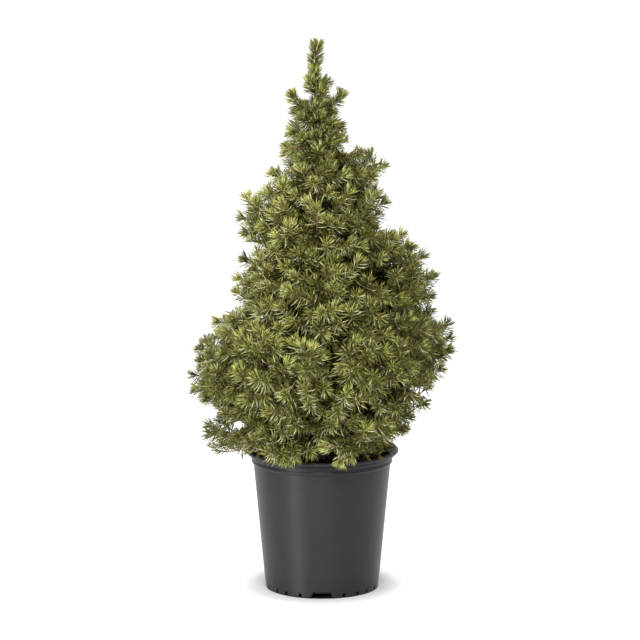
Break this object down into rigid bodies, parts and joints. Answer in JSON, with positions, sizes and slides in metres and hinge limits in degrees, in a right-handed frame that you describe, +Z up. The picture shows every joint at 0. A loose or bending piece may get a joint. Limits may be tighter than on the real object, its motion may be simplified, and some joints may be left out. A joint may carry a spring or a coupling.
{
  "type": "potted dwarf alberta spruce",
  "caption": "Small conical spruce with dense short-needled foliage on tiered boughs, growing in a round tapered nursery pot.",
  "frame": {"origin": "centre of the pot's flat underside, where the plant stands", "axes": "+Z up the trunk, +X to the plant's right and +Y away from the viewer of the picture's side"},
  "size_m": [0.2918, 0.2839, 0.6111],
  "materials": {
    "pot": "satin charcoal blow-moulded plastic",
    "soil": "loose damp bark mix",
    "bark": "rough reddish-brown bark",
    "foliage": "short olive-green needles"
  },
  "bodies": {
    "root": {"pot": "pot", "soil": "soil", "trunk": "bark", "bough_skirt_1": "bark", "foliage_skirt_1": "foliage", "bough_skirt_2": "bark", "foliage_skirt_2": "foliage", "bough_skirt_3": "bark", "foliage_skirt_3": "foliage", "bough_skirt_4": "bark", "foliage_skirt_4": "foliage", "bough_skirt_5": "bark", "foliage_skirt_5": "foliage", "bough_skirt_6": "bark", "foliage_skirt_6": "foliage", "bough_low_1": "bark", "foliage_low_1": "foliage", "bough_low_2": "bark", "foliage_low_2": "foliage", "bough_low_3": "bark", "foliage_low_3": "foliage", "bough_low_4": "bark", "foliage_low_4": "foliage", "bough_low_5": "bark", "foliage_low_5": "foliage", "bough_low_6": "bark", "foliage_low_6": "foliage", "bough_broad_1": "bark", "foliage_broad_1": "foliage", "bough_broad_2": "bark", "foliage_broad_2": "foliage", "bough_broad_3": "bark", "foliage_broad_3": "foliage", "bough_broad_4": "bark", "foliage_broad_4": "foliage", "bough_broad_5": "bark", "foliage_broad_5": "foliage", "bough_broad_6": "bark", "foliage_broad_6": "foliage", "bough_middle_1": "bark", "foliage_middle_1": "foliage", "bough_middle_2": "bark", "foliage_middle_2": "foliage", "bough_middle_3": "bark", "foliage_middle_3": "foliage", "bough_middle_4": "bark", "foliage_middle_4": "foliage", "bough_middle_5": "bark", "foliage_middle_5": "foliage", "foliage_shoulder_1": "foliage", "foliage_shoulder_2": "foliage", "foliage_shoulder_3": "foliage", "foliage_shoulder_4": "foliage", "foliage_neck_1": "foliage", "foliage_neck_2": "foliage", "foliage_neck_3": "foliage", "foliage_spire_1": "foliage", "foliage_spire_2": "foliage", "foliage_spire_3": "foliage", "foliage_leader": "foliage"}
  },
  "joints": []
}
